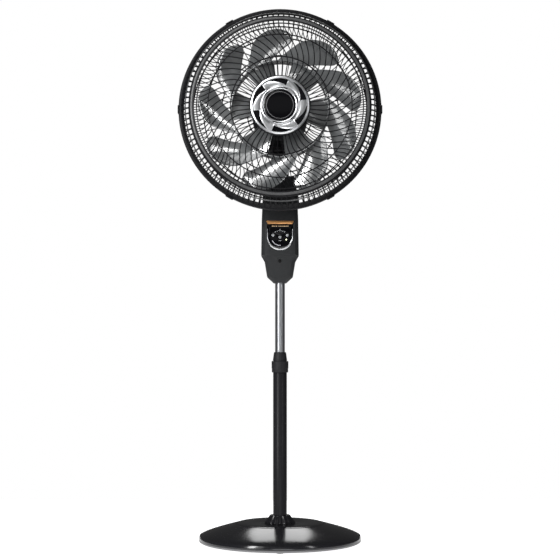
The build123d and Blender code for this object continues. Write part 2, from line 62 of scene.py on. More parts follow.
MM = 0.001
FLAT_LIMIT = 2.0
FULL_TURN = 2 * math.pi
RECORD = frame["record"]
BODY_OF = {node: body for body, nodes in RECORD["behaviour"]["bodies"].items() for node in nodes}
SLOT_OF = {part["node"]: part["material_slot"] for part in RECORD["subparts"]}
JOINTS = {joint["name"]: joint for joint in RECORD["behaviour"]["joints"]}
HEAD_PLACE = (Matrix.Translation(JOINTS["blade_spin"]["pos_m"])
              @ Matrix.Rotation(math.pi / 2, 4, "X"))


# --- Shader maths -----------------------------------------------------------------------------

class Wire:
    """A shader socket that can be used in sums; each sum adds its Math node."""

    def __init__(self, sheet, socket):
        self.sheet = sheet
        self.socket = socket

    def _math(self, operation, first, second):
        return self.sheet.node("ShaderNodeMath", {"operation": operation}, {0: first, 1: second})[0]

    def __add__(self, other):
        return self._math("ADD", self, other)

    def __radd__(self, other):
        return self._math("ADD", other, self)

    def __sub__(self, other):
        return self._math("SUBTRACT", self, other)

    def __rsub__(self, other):
        return self._math("SUBTRACT", other, self)

    def __mul__(self, other):
        return self._math("MULTIPLY", self, other)

    def __rmul__(self, other):
        return self._math("MULTIPLY", other, self)

    def __pow__(self, other):
        return self._math("POWER", self, other)

    def __gt__(self, other):
        return self._math("GREATER_THAN", self, other)


class Sheet:
    """The node tree of one finish."""

    def __init__(self, name):
        self.material = bpy.data.materials.new(name)
        self.material.use_nodes = True
        self.tree = self.material.node_tree
        self.tree.nodes.clear()
        self.shader = self.tree.nodes.new("ShaderNodeBsdfPrincipled")
        output = self.tree.nodes.new("ShaderNodeOutputMaterial")
        self.tree.links.new(self.shader.outputs[0], output.inputs["Surface"])
        self.place = self.node("ShaderNodeTexCoord", {}, {})["Object"]

    def plug(self, socket, value):
        """Links a wire to a socket, or sets a plain value on it."""
        if isinstance(value, Wire):
            self.tree.links.new(value.socket, socket)
        else:
            socket.default_value = value

    def node(self, kind, settings, inputs):
        """Adds a node; settings are set first, then its inputs. Returns its outputs as wires."""
        node = self.tree.nodes.new(kind)
        for name, value in settings.items():
            if name == "stops":
                ramp = node.color_ramp
                while len(ramp.elements) < len(value):
                    ramp.elements.new(0.5)
                for element, (at, colour) in zip(ramp.elements, value):
                    element.position = at
                    element.color = colour
            else:
                setattr(node, name, value)
        for name, value in inputs.items():
            self.plug(node.inputs[name], value)
        return Outputs(self, node)

    def noise(self, scale, detail=3.0, roughness=0.55, place=None):
        """Soft noise from 0 to 1 with features about 1/scale metres across."""
        return self.node("ShaderNodeTexNoise", {}, {
            "Vector": place or self.place, "Scale": scale, "Detail": detail,
            "Roughness": roughness})[0]

    def specks(self, scale):
        """Distance to the nearest of many random points."""
        return self.node("ShaderNodeTexVoronoi", {}, {"Vector": self.place, "Scale": scale})[0]

    def mix(self, share, first, second):
        """A colour between two colours."""
        out = self.node("ShaderNodeMix", {"data_type": "RGBA"}, {0: share, 6: first, 7: second})
        return Wire(self, out.node.outputs[2])

    def stretch(self, x, y, z):
        """The place, scaled along each axis."""
        return self.node("ShaderNodeMapping", {}, {"Vector": self.place, "Scale": (x, y, z)})[0]

    def bump(self, height, distance, strength=1.0):
        """A normal from a height in metres."""
        return self.node("ShaderNodeBump", {}, {
            "Height": height, "Distance": distance, "Strength": strength})["Normal"]

    def set(self, **values):
        """Sets or links sockets of the main shader, by name with _ for a space."""
        for name, value in values.items():
            self.plug(self.shader.inputs[name.replace("_", " ")], value)


class Outputs:
    """A node's outputs, as wires."""

    def __init__(self, sheet, node):
        self.sheet = sheet
        self.node = node

    def __getitem__(self, name):
        return Wire(self.sheet, self.node.outputs[name])


def shade(colour, factor):
    """A colour made lighter or darker, with full opacity."""
    return (*(min(1.0, channel * factor) for channel in colour[:3]), 1.0)


# --- Finishes ---------------------------------------------------------------------------------

def moulded(name, colour, rough, grain=900.0, depth=0.00004, vary=0.12, shine=0.5):
    """Moulded plastic with a fine spark-eroded grain and a little uneven gloss."""
    sheet = Sheet(name)
    broad = sheet.noise(14.0)
    fine = sheet.noise(grain, 2.0)
    sheet.set(
        Base_Color=sheet.mix(broad, shade(colour, 1 - vary), shade(colour, 1 + vary)),
        Roughness=rough - 0.06 + 0.12 * broad + 0.05 * fine,
        Specular_IOR_Level=shine,
        Normal=sheet.bump(fine, depth),
    )
    return sheet.material


def gloss(name, colour, rough, dust, shine=0.5):
    """Polished plastic with faint ripples, hairline scuffs and settled dust."""
    sheet = Sheet(name)
    ripple = sheet.noise(22.0, 1.0)
    scuff = sheet.noise(260.0, 4.0, 0.7, sheet.stretch(1.0, 0.12, 1.0))
    specks = sheet.noise(2600.0, 1.0) > 0.74
    sheet.set(
        Base_Color=sheet.mix(specks * dust, shade(colour, 1.0), (0.5, 0.5, 0.5, 1)),
        Roughness=rough + 0.07 * (scuff ** 4.0) + 0.25 * dust * specks,
        Specular_IOR_Level=shine,
        Normal=sheet.bump(ripple, 0.0003, 0.35),
    )
    return sheet.material


def painted(name, colour, rough=0.3):
    """Baked paint on steel tube with a light orange peel."""
    sheet = Sheet(name)
    peel = sheet.noise(420.0, 2.0)
    broad = sheet.noise(9.0)
    sheet.set(
        Base_Color=sheet.mix(broad, shade(colour, 0.9), shade(colour, 1.15)),
        Roughness=rough - 0.05 + 0.1 * broad,
        Specular_IOR_Level=0.1,
        Normal=sheet.bump(peel, 0.00008, 0.5),
    )
    return sheet.material


def plated(name, colour=(0.82, 0.83, 0.85), rough=0.07):
    """Bright chrome plate with faint haze and fine wipe marks."""
    sheet = Sheet(name)
    haze = sheet.noise(35.0, 3.0)
    wipes = sheet.noise(500.0, 3.0, 0.6, sheet.stretch(1.0, 1.0, 0.06))
    sheet.set(
        Base_Color=sheet.mix(haze, shade(colour, 0.93), shade(colour, 1.04)),
        Roughness=rough + 0.06 * haze + 0.05 * wipes,
        Metallic=1.0,
        Normal=sheet.bump(wipes, 0.00001, 0.4),
    )
    return sheet.material


def metal(name, colour, rough, grain=300.0, depth=0.00005, metallic=1.0, stretch=(1.0, 1.0, 1.0)):
    """Bare or cast metal with grain."""
    sheet = Sheet(name)
    grains = sheet.noise(grain, 4.0, 0.6, sheet.stretch(*stretch))
    stain = sheet.noise(18.0)
    sheet.set(
        Base_Color=sheet.mix(stain, shade(colour, 0.8), shade(colour, 1.1)),
        Roughness=rough - 0.08 + 0.16 * grains,
        Metallic=metallic,
        Normal=sheet.bump(grains, depth),
    )
    return sheet.material


def smoked(name, colour, alpha):
    """Tinted see-through plastic with flow marks from the mould."""
    sheet = Sheet(name)
    flow = sheet.noise(30.0, 2.0)
    fine = sheet.noise(700.0, 2.0)
    sheet.set(
        Base_Color=sheet.mix(flow, shade(colour, 0.85), shade(colour, 1.15)),
        Roughness=0.12 + 0.1 * flow,
        Alpha=alpha + 0.06 * flow,
        Specular_IOR_Level=1.0,
        Coat_Weight=1.0,
        Coat_IOR=1.9,
        Coat_Roughness=0.07,
        Normal=sheet.bump(fine, 0.00002, 0.5),
    )
    return sheet.material


def lit(name, colour, strength):
    """A glowing surface. The lamp lens has a real lamp behind it; the printed marks get a painted
    glow from it.
    """
    sheet = Sheet(name)
    core = sheet.noise(900.0, 1.0)
    sheet.set(
        Base_Color=shade(colour, 1.0),
        Roughness=0.2,
        Emission_Color=sheet.mix(core, shade(colour, 0.9), shade(colour, 1.0)),
        Emission_Strength=strength,
    )
    return sheet.material


def circuit(name, colour):
    """Lacquered board with faint copper tracks."""
    sheet = Sheet(name)
    tracks = sheet.specks(260.0) > 0.55
    sheet.set(
        Base_Color=sheet.mix(tracks * 0.5, shade(colour, 1.0), (0.25, 0.4, 0.12, 1)),
        Roughness=0.35 + 0.1 * tracks,
    )
    return sheet.material


def wound(name, colour):
    """Enamelled wire seen as fine parallel turns."""
    sheet = Sheet(name)
    turns = sheet.node("ShaderNodeTexWave", {"wave_type": "RINGS", "rings_direction": "Y"}, {
        "Vector": sheet.place, "Scale": 260.0, "Distortion": 2.0})[0]
    sheet.set(
        Base_Color=sheet.mix(turns, shade(colour, 0.6), shade(colour, 1.1)),
        Roughness=0.3,
        Metallic=0.8,
        Normal=sheet.bump(turns, 0.0002),
    )
    return sheet.material


def finishes(colours):
    """Every finish of the fan, by its slot in the record or by the name of its coat."""
    return {
        "gloss_black": lambda n: gloss(n, colours.base, 0.14, 0.003),
        "grey_rim": lambda n: moulded(n, colours.rim, 0.4, 700.0),
        "cast_iron": lambda n: metal(n, (0.1, 0.1, 0.1), 0.7, 150.0, 0.0003, 0.6),
        "rubber": lambda n: moulded(n, (0.02, 0.02, 0.02), 0.8, 500.0, 0.0001),
        "steel": lambda n: metal(n, (0.55, 0.56, 0.58), 0.32, 500.0),
        "painted_tube": lambda n: painted(n, colours.pole),
        "chrome": plated,
        "graphite": lambda n: moulded(n, colours.housing, 0.5, 1100.0, 0.00003, 0.12, 0.25),
        "collar": lambda n: moulded(n, colours.collar, 0.5, 1000.0, 0.00003, 0.12, 0.25),
        "panel_black": lambda n: gloss(n, (0.003, 0.003, 0.004), 0.08, 0.004, 0.2),
        "copper": lambda n: metal(n, colours.accent, 0.3, 900.0, 0.00001, 0.85, (0.05, 1.0, 1.0)),
        "board": lambda n: circuit(n, (0.02, 0.14, 0.07)),
        "lamp": lambda n: lit(n, (0.93, 0.95, 0.62), 3.0),
        "guard": lambda n: moulded(n, colours.guard, 0.45, 1200.0, 0.00001, 0.12, 0.2),
        "smoke": lambda n: smoked(n, colours.blades, 0.79),
        "alloy": lambda n: metal(n, (0.5, 0.5, 0.51), 0.45, 250.0, 0.0001),
        "laminate": lambda n: metal(n, (0.25, 0.25, 0.27), 0.4, 1600.0, 0.0002, 1.0,
                                    (0.05, 1.0, 0.05)),
        "copper_wire": lambda n: wound(n, (0.55, 0.24, 0.09)),
        "bronze": lambda n: metal(n, (0.45, 0.3, 0.15), 0.45, 800.0),
        "white_plastic": lambda n: moulded(n, (0.7, 0.7, 0.66), 0.45, 800.0),
        # The rings' lighter grey is partly their own grey and partly a painted highlight along
        # them.
        "ring_grey": lambda n: moulded(n, colours.ring, 0.3, 1200.0, 0.00003),
        "dark_plug": lambda n: moulded(n, (0.003, 0.003, 0.003), 0.6, 800.0, 0.00002, 0.1, 0.2),
        "tube_chrome": lambda n: plated(n, (0.4, 0.41, 0.43), 0.28),
        # The gold dashes are print given a painted glow, not a lamp.
        "gold_mark": lambda n: lit(n, (0.7, 0.5, 0.3), 0.5),
        "soft_chrome": lambda n: plated(n, (0.8, 0.81, 0.83), 0.24),
        "cap_black": lambda n: gloss(n, (0.004, 0.004, 0.005), 0.12, 0.01, 0.12),
        # The bright and dim marks are print given a painted glow, not lamps.
        "marking": lambda n: lit(n, (0.8, 0.82, 0.85), 0.42),
        "marking_dim": lambda n: lit(n, (0.5, 0.5, 0.54), 0.45),
        "silver_line": lambda n: metal(n, (0.6, 0.6, 0.62), 0.25, 900.0, 0.00001),
    }


def finish(name):
    """The finish of that name, made once. The frame's own plain materials keep the bare names."""
    own = name + "_finish"
    if own not in bpy.data.materials:
        finishes(bpy.context.scene.fan_colours)[name](own)
    return bpy.data.materials[own]


# --- Modelling helpers --------------------------------------------------------------------------

def only(piece):
    """Selects one piece alone and makes it active."""
    bpy.ops.object.select_all(action="DESELECT")
    piece.select_set(True)
    bpy.context.view_layer.objects.active = piece
    return piece


def fresh():
    """Leaves nothing selected before a primitive is added."""
    bpy.ops.object.select_all(action="DESELECT")


def edit(piece, *steps):
    """Runs steps in edit mode on all of a piece."""
    only(piece)
    bpy.ops.object.mode_set(mode="EDIT")
    bpy.ops.mesh.select_all(action="SELECT")
    for step in steps:
        step()
    bpy.ops.object.mode_set(mode="OBJECT")
    return piece


def tidy_mesh(piece, reach=0.00001):
    """Merges doubles and turns the faces outwards."""
    return edit(piece, lambda: bpy.ops.mesh.remove_doubles(threshold=reach),
                lambda: bpy.ops.mesh.normals_make_consistent(inside=False))


def modify(piece, kind, **settings):
    """Adds a modifier and applies it."""
    only(piece)
    modifier = piece.modifiers.new(kind.title(), kind)
    for name, value in settings.items():
        setattr(modifier, name, value)
    bpy.ops.object.modifier_apply(modifier=modifier.name)
    return piece


def soften(piece, width, segments=2, limit=32.0):
    """Rounds a piece's sharp edges."""
    return modify(piece, "BEVEL", width=width * MM, segments=segments, limit_method="ANGLE",
                  angle_limit=math.radians(limit), harden_normals=False)


def smooth(piece, limit=34.0):
    """Shades a piece smooth except over its sharp edges."""
    only(piece)
    bpy.ops.object.shade_smooth_by_angle(angle=math.radians(limit))
    return piece


def point_chain(points):
    """A chain of edges through (x, y, z) millimetres, drawn by extruding one vertex."""
    fresh()
    bpy.ops.mesh.primitive_plane_add(size=MM)
    piece = bpy.context.object
    first = Vector(points[0]) * MM

    def draw():
        bpy.ops.mesh.merge(type="CENTER")
        bpy.ops.transform.translate(value=first)
        for before, after in zip(points, points[1:]):
            step = (Vector(after) - Vector(before)) * MM
            bpy.ops.mesh.extrude_vertices_move(TRANSFORM_OT_translate={"value": step})

    return edit(piece, draw)


def lathe(profile, steps=120, closed=True):
    """A turned piece: the profile of (radius, height) millimetres spun about Z."""
    points = [(radius, 0, height) for radius, height in profile]
    if closed:
        points.append(points[0])
    piece = point_chain(points)
    edit(piece, lambda: bpy.ops.mesh.spin(
        steps=steps, angle=FULL_TURN, center=(0, 0, 0), axis=(0, 0, 1)))
    return tidy_mesh(piece)


def repeat(piece, count, first=0.0):
    """Copies of a piece's mesh at equal angles about Z, in one piece."""
    if first:
        edit(piece, lambda: bpy.ops.transform.rotate(
            value=-math.radians(first), orient_axis="Z", center_override=(0, 0, 0)))
    span = FULL_TURN * (count - 1) / count
    return edit(piece, lambda: bpy.ops.mesh.spin(
        steps=count - 1, dupli=True, angle=span, center=(0, 0, 0), axis=(0, 0, 1)))


def warped(across, along, place):
    """A grid whose points are placed by a formula of two shares, each from 0 to 1; millimetres."""
    fresh()
    bpy.ops.mesh.primitive_grid_add(x_subdivisions=across, y_subdivisions=along, size=1)
    piece = bpy.context.object
    for vertex in piece.data.vertices:
        vertex.co = Vector(place(vertex.co.x + 0.5, vertex.co.y + 0.5)) * MM
    piece.data.update()
    return piece


def strip(points, width, depth):
    """A rounded strip along (x, y, z) millimetres: width across, depth along Z."""
    fresh()
    bpy.ops.curve.primitive_nurbs_path_add()
    piece = bpy.context.object
    curve = piece.data
    curve.splines.clear()
    spline = curve.splines.new("POLY")
    spline.points.add(len(points) - 1)
    for target, point in zip(spline.points, points):
        target.co = (*(Vector(point) * MM), 1.0)
    curve.dimensions = "3D"
    curve.twist_mode = "Z_UP"
    curve.bevel_depth = width * MM / 2
    curve.bevel_resolution = 0
    curve.extrude = (depth - width) * MM / 2
    curve.use_fill_caps = True
    only(piece)
    bpy.ops.object.convert(target="MESH")
    return tidy_mesh(bpy.context.object)


def joined(*pieces):
    """Several pieces made one."""
    fresh()
    for piece in pieces:
        piece.select_set(True)
    bpy.context.view_layer.objects.active = pieces[0]
    if len(pieces) > 1:
        bpy.ops.object.join()
    return bpy.context.object


def at_head(piece):
    """Puts a piece drawn flat, with z to the front, on the guards' plane."""
    piece.data.transform(HEAD_PLACE)
    piece.data.update()
    return piece


def settle(piece, name, *nodes, body=None, slot=None, coat=None):
    """Names a piece, lets it ride, stands it for its nodes and gives it its finish."""
    piece.name = name
    piece.data.name = name
    body = body or BODY_OF[nodes[0]]
    slot = slot or SLOT_OF[nodes[0]]
    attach(piece, body)
    if nodes:
        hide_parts(*nodes)
    piece.data.materials.clear()
    piece.data.materials.append(finish(coat or slot))
    return piece


def rounded_copy(node, width, segments=2, coat=None):
    """A copy of a frame node with its doubles merged and its edges rounded."""
    source = frame["nodes"][node]
    piece = source.copy()
    piece.data = source.data.copy()
    bpy.context.collection.objects.link(piece)
    for key in list(piece.keys()):
        del piece[key]
    tidy_mesh(piece)
    edit(piece, lambda: bpy.ops.mesh.dissolve_limited(angle_limit=math.radians(FLAT_LIMIT)))
    soften(piece, width, segments)
    smooth(piece)
    return settle(piece, node + "_finished", node, coat=coat)


# --- Guards -------------------------------------------------------------------------------------

SWIRL_START = 98.0
SWIRL_END = 202.0
SWIRL_TURN = 21.0


def swirl(radius):
    """How far round a swirled rib has turned at a radius, in degrees."""
    share = min(1.0, max(0.0, (radius - SWIRL_START) / (SWIRL_END - SWIRL_START)))
    return SWIRL_TURN * share * share * (3 - 2 * share)


def between(stations, radius):
    """A height read off a short list of (radius, height)."""
    for (r0, z0), (r1, z1) in zip(stations, stations[1:]):
        if radius <= r1:
            return z0 + (z1 - z0) * max(0.0, radius - r0) / (r1 - r0)
    return stations[-1][1]


FRONT_SHAPE = [(68, 56.6), (116, 58.7), (171, 56.8), (198, 55.6), (206.5, 55.2), (214, 52.4),
               (221, 46.5), (227, 38.6), (238, 6)]
REAR_SHAPE = [(54, -62), (80, -61.6), (145, -56.8), (187, -50), (207, -43.5), (213, -40.8),
              (222, -32.6), (229, -25), (238, -4)]


def rib_path(shape, start, end, count, turn):
    """Points of a rib between two radii over the guard's shape."""
    points = []
    for k in range(count):
        radius = start + (end - start) * k / (count - 1)
        angle = math.radians(turn(radius))
        points.append((radius * math.cos(angle), radius * math.sin(angle), between(shape, radius)))
    return points


def ring(radius, height, width, depth):
    """A ring of rectangular section with rounded edges; radius and height are its middle."""
    r0, r1 = radius - width / 2, radius + width / 2
    z0, z1 = height - depth / 2, height + depth / 2
    piece = lathe([(r0, z0), (r1, z0), (r1, z1), (r0, z1)], 150)
    return soften(piece, 0.5)


def straight(radius):
    """The turn of a rib that runs straight out."""
    return 0.0


def full_swirl(radius):
    """The turn of a straight rib that starts where the swirled ones end."""
    return SWIRL_TURN


def front_grille(sizes):
    """Swirled ribs, thin rings and the outer rim of the front guard."""
    inner = repeat(strip(rib_path(FRONT_SHAPE, 69, 172, 20, swirl), 2.3, 4.2), sizes.inner_ribs)
    outer = repeat(strip(rib_path(FRONT_SHAPE, 171, 212, 7, swirl), 2.0, 4.0), sizes.inner_ribs * 2)
    wall = repeat(strip(rib_path(FRONT_SHAPE, 211, 237, 8, swirl), 3.6, 5.0), sizes.inner_ribs * 2)
    rings = [ring(r, between(FRONT_SHAPE, r) + lift, width, depth) for r, lift, width, depth in (
        (70.5, -0.4, 4.5, 4.4), (117.4, 0.2, 2.6, 4.6), (171.3, 0.2, 2.4, 4.6),
        (198.3, 0.2, 2.4, 4.6))]
    rim = lathe([(231.6, 2.4), (236, 0.3), (244.4, 0.3), (245, 1.0), (245, 5.4), (243.4, 8.3),
                 (240, 9.4), (234.6, 13.0), (231.6, 17.6)])
    seat = lathe([(204.6, 52.6), (212, 50.6), (217.4, 46.4), (218.2, 48.4), (216.8, 52.8),
                  (212, 56.2), (205, 57.8), (204.2, 56.8)])
    grille = joined(inner, outer, wall, rim, seat, *rings)
    return settle(smooth(at_head(grille)), "front_grille", "front_guard")


def grille_band(radius, low, high, name, slot, coat):
    """A flat ring laid on the front guard."""
    piece = lathe([(radius - 3, low), (radius + 3, low - 1.6), (radius + 3.2, high - 2.2),
                   (radius + 2.4, high - 1.2), (radius - 2.2, high), (radius - 3, high - 0.6)])
    return settle(smooth(at_head(soften(piece, 0.3, 1))), name, body="head", slot=slot, coat=coat)


def rear_grille(sizes):
    """Thin straight ribs, rings, the mounting plate and the rim of the rear guard."""
    inner = repeat(strip(rib_path(REAR_SHAPE, 56, 186, 12, straight), 1.8, 4.0), sizes.inner_ribs)
    outer = repeat(strip(rib_path(REAR_SHAPE, 185, 237, 12, full_swirl), 1.8, 4.0),
                   sizes.inner_ribs * 2)
    rings = [ring(r, between(REAR_SHAPE, r) - 0.2, 2.6, 4.4) for r in (80, 145, 187, 213)]
    plate = soften(lathe([(20.8, -66.6), (50, -66.6), (58, -64.6), (58, -60.2), (50, -61.4),
                          (20.8, -61.4)]), 0.6)
    rim = lathe([(234, -0.4), (243.4, -0.4), (243.4, -5), (241.5, -7), (236, -6.2), (234, -5)])
    grille = joined(inner, outer, plate, rim, *rings)
    return settle(smooth(at_head(grille)), "rear_grille", "rear_guard")


def rim_clips():
    """Rounded snap clips over the rim."""
    fresh()
    bpy.ops.mesh.primitive_cube_add(size=1, location=(244.6 * MM, 0, 0.7 * MM),
                                    scale=(4.4 * MM, 20 * MM, 18.6 * MM))
    clip = bpy.context.object
    bpy.ops.object.transform_apply(location=True, rotation=True, scale=True)
    soften(clip, 1.6, 3)
    return settle(smooth(at_head(repeat(clip, 6))), "rim_clips", "guard_clips")


# --- Hub ----------------------------------------------------------------------------------------

def polar(radius, degrees, height):
    """A point from its radius, angle and height."""
    angle = math.radians(degrees)
    return (radius * math.cos(angle), radius * math.sin(angle), height)


WINDOW_SPAN = 47.0
SECTOR = 60.0


def window_inner(angle):
    """Inner edge of a hub window, which widens clockwise from its thin tip."""
    share = min(1.0, max(0.0, angle / WINDOW_SPAN))
    return 63.6 - 14.0 * share ** 0.9


def hub_ring():
    """The chromed ring: an outer lip, six swirled petals with windows between, an inner ring."""
    lip = lathe([(64.2, 60.8), (64.4, 64.3), (66.4, 65.8), (69.2, 64.9), (70.4, 62.4), (70.4, 58.4),
                 (68.4, 58.4), (67.6, 60.4)], 150)
    inner = lathe([(38.2, 61.7), (38.2, 64.1), (40, 65.2), (44.6, 64.9), (46.4, 63.6),
                   (46.4, 61.7)], 150)

    def petal(u, v):
        angle = SECTOR * u
        rise = math.sin(math.pi * v) * 1.2 + 0.9 * (1 - abs(2 * u - 1))
        outer = window_inner(angle) if angle < WINDOW_SPAN else 64.8
        radius = 46.0 + (outer - 46.0) * v
        return polar(radius, -angle, 62.4 + rise)

    petals = warped(40, 8, petal)
    modify(petals, "SOLIDIFY", thickness=1.2 * MM, offset=-1.0)
    repeat(petals, 6)
    return settle(smooth(at_head(joined(lip, inner, petals)), 40), "hub_ring", "hub_trim",
                  coat="soft_chrome")


def hub_cap():
    """The dark dish and its gloss cap, in one turned piece."""
    dish = lathe([(0, 58.7), (67.3, 58.4), (66.4, 60.0), (47, 61.0), (37.6, 61.4), (37.2, 63.4),
                  (36, 64.2), (34, 64.6), (20, 65.6), (0, 66.0)], 150, closed=False)
    return settle(smooth(at_head(dish)), "hub_cap", "hub_disc", coat="cap_black")


def hub_lines():
    """Silver pin ring on the cap, and dark strips laid on the inner ring as the painted shade of
    its slit openings.
    """
    line = lathe([(31.2, 64.86), (32.4, 64.78), (32.4, 64.98), (31.2, 65.06)], 150)
    settle(smooth(at_head(line)), "hub_pin_ring", body="head", slot="chrome", coat="silver_line")

    # Each slit is a thin black strip on the solid ring: painted shade where an opening would be
    # dark.
    def slit(u, v):
        return polar(41.2 + 2.2 * v, 29.0 * (u - 0.5), 65.32 - 0.1 * v)

    slit_shades = warped(16, 2, slit)
    modify(slit_shades, "SOLIDIFY", thickness=0.3 * MM, offset=0.0)
    repeat(slit_shades, 6, 20)
    return settle(at_head(slit_shades), "hub_slit_shades", body="head", slot="panel_black")


# --- Rotor --------------------------------------------------------------------------------------

TIP = 199.8
RING_OUT = 118.0
MID_TURN = 25.4
MID_BEND = 1.545
LEAD_FROM = 165.0
BLADE_MIDDLE = 92.0
HALF_AT_RING = 14.6
HALF_GAIN = 1.6
RISE_PER_DEGREE = 50.0 / 60.0
LEVEL_ANGLE = 107.0
HUB_RADIUS = 46.5
INNER_END = 116.2


def outer_blade_shape(u, v):
    """A swept blade: v runs from the ring to the tip, u from leading to trailing edge."""
    reach = 1 - (1 - v) ** 1.6
    radius = RING_OUT - 1.5 + (TIP - RING_OUT + 1.5) * reach
    share = max(0.0, TIP - radius) / (TIP - RING_OUT)
    middle = BLADE_MIDDLE + MID_TURN * share ** MID_BEND
    half = HALF_AT_RING + HALF_GAIN * min(1.0, (radius - RING_OUT) / (LEAD_FROM - RING_OUT))
    if radius > LEAD_FROM:
        half *= math.sqrt(max(0.0, 1 - ((radius - LEAD_FROM) / (TIP - LEAD_FROM)) ** 2))
    angle = middle + half * (2 * u - 1)
    camber = 5.0 * math.sin(math.pi * u) * (1 - 0.5 * share)
    height = RISE_PER_DEGREE * (angle - LEVEL_ANGLE) + camber
    return polar(radius, angle, height)


def inner_blade_shape(u, v):
    """A straight blade: v runs from the hub to the ring, u from one edge to the other."""
    radius = HUB_RADIUS + (INNER_END - HUB_RADIUS) * v
    angle = 97.0 + 37.5 * u
    camber = 3.2 * math.sin(math.pi * u)
    height = -17.0 + 34.0 * u + camber
    return polar(radius, angle, height)


def blade_wheel(sizes):
    """Hub, inner blades, ring and swept outer blades."""
    outer = warped(18, 22, outer_blade_shape)
    tidy_mesh(outer)
    modify(outer, "SOLIDIFY", thickness=2.0 * MM, offset=0.0)
    soften(outer, 0.5, 2, 50)
    repeat(outer, sizes.outer_blades)
    inner = warped(12, 8, inner_blade_shape)
    modify(inner, "SOLIDIFY", thickness=2.0 * MM, offset=0.0)
    soften(inner, 0.5, 1, 50)
    repeat(inner, sizes.inner_blades)
    band = soften(lathe([(115, -22), (118, -22), (118, 22), (115, 22)], 120), 0.8)
    hub = lathe([(4.05, -13.8), (12, -13.8), (12, 17), (45.5, 17), (45.5, -23.8), (48, -23.8),
                 (48, 16), (46.5, 18.6), (43, 20), (4.05, 20)], 96)
    wheel = joined(outer, inner, band, soften(hub, 0.5, 1))
    return settle(smooth(at_head(wheel), 40), "blade_wheel", "fan_blades")


# --- Base and pole ------------------------------------------------------------------------------

def base_dome():
    """The gloss dome, from the rim up to the step of the centre disc."""
    outer = [(196.0, 9.4), (199.6, 9.4), (199.9, 11.0), (199.2, 15.6), (197.6, 19.0)]
    for k in range(1, 13):
        share = k / 12
        outer.append((197.6 - 89.0 * share, 19.0 + 28.6 * share ** 0.8))
    inner = [(108.4, 42.0), (150, 32.0), (190, 18.6), (195.6, 15.4)]
    return settle(smooth(lathe(outer + inner, 180), 30), "base_dome", "base_cover")


def centre_plate():
    """The raised disc with a soft edge."""
    profile = [(104, 40.4), (107.9, 40.4), (108, 45.4), (107.4, 47.4), (105.2, 48.6), (80, 49.4),
               (36.4, 49.8), (36.4, 46.0), (104, 45.0)]
    return settle(smooth(soften(lathe(profile, 180), 0.25), 30), "centre_plate", "centre_disc")


def rim_tray():
    """The grey rim with its rounded lower edge."""
    profile = [(20, 3.1), (190, 3.1), (196, 3.6), (198.6, 5.0), (199.8, 7.2), (199.8, 8.6),
               (199.0, 9.2), (193.4, 9.2), (193.4, 5.4), (20, 5.4)]
    return settle(smooth(lathe(profile, 180), 30), "rim_tray", "base_tray")


def socket_cone():
    """The fluted cone at the pole's foot."""
    profile = [(35.6, 49.6), (36, 50.2), (35.2, 51.6), (33, 54), (24.8, 66.0), (23.8, 67.6),
               (22.6, 68.0), (17.2, 68.0), (17.2, 49.6)]
    cone = lathe(profile, 192)
    for vertex in cone.data.vertices:
        x, y, z = vertex.co
        if math.hypot(x, y) > 20 * MM and z > 50 * MM:
            flute = 1 + 0.04 * math.cos(16 * math.atan2(y, x))
            vertex.co = (x * flute, y * flute, z)
    return settle(smooth(cone), "socket_cone", "pole_socket", coat="gloss_black")


def pole_tubes():
    """Painted lower tube and chromed upper tube, each with turned-in ends."""
    low, high = (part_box("outer_tube")[k][2] / MM for k in (0, 1))
    lower = lathe([(15.6, low), (17, low), (17, high - 0.6), (16.6, high), (15.6, high)], 96)
    settle(smooth(lower), "lower_tube", "outer_tube")
    low, high = (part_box("inner_tube")[k][2] / MM for k in (0, 1))
    upper = lathe([(10.8, low), (12, low), (12, high - 0.5), (11.6, high), (10.8, high)], 96)
    return settle(smooth(upper), "upper_tube", "inner_tube", coat="tube_chrome")


def height_collar():
    """Collar ring and the lock nut with its finger grooves."""
    collar = lathe([(17.15, 418), (20, 418), (20.2, 418.6), (20.2, 427.6), (20.8, 428.2),
                    (20.8, 444.8), (19.6, 446), (15.4, 446), (15.4, 458), (13.9, 458), (13.9, 428),
                    (17.15, 428)], 96)
    settle(smooth(collar), "collar_body", "collar_ring")
    nut = lathe([(17.5, 446.4), (17.5, 449.4), (15.2, 466), (14.4, 467.8), (13.6, 468), (12.3, 468),
                 (12.3, 463), (13.9, 462.4), (13.9, 459), (15.5, 458.4), (15.5, 446.4)], 144)
    for vertex in nut.data.vertices:
        x, y, z = vertex.co
        if math.hypot(x, y) > 14.3 * MM and z < 467 * MM:
            groove = 1 - 0.02 * max(0.0, math.cos(12 * math.atan2(y, x))) ** 6
            vertex.co = (x * groove, y * groove, z)
    return settle(smooth(nut), "lock_nut_body", "height_nut")


# --- Control housing ----------------------------------------------------------------------------

HOUSING_LEVELS = [
    (639.0, 12.3, -12.3), (639.1, 14.8, -15.2), (640.2, 16.6, -16.4), (653.0, 30.6, -21.6),
    (655.5, 32.2, -22.4), (692.0, 38.2, -26.8), (696.0, 39.8, -27.4), (705.0, 45.8, -28.4),
    (708.0, 46.5, -31.0), (712.0, 46.5, -31.0), (756.0, 45.8, -31.0), (796.0, 45.2, -30.6),
    (806.0, 44.9, -27.4), (860.0, 43.0, -21.0), (903.0, 36.3, -20.0), (905.0, 34.8, -18.8),
    (905.1, 23.6, -17.4),
]
PANEL_Z = 752.0
PANEL_FACE = -32.0
PANEL_ROUND = 32.0
MARK_DEPTH = 0.3
KEYS = ((0, 751.5), (-17.5, 756), (17.5, 756))


def skin_level(share):
    """A level of the housing between two of the listed ones: height, half width, front."""
    place = share * (len(HOUSING_LEVELS) - 1)
    index = min(int(place), len(HOUSING_LEVELS) - 2)
    part = place - index
    below, above = HOUSING_LEVELS[index:index + 2]
    return [low + (high - low) * part for low, high in zip(below, above)]


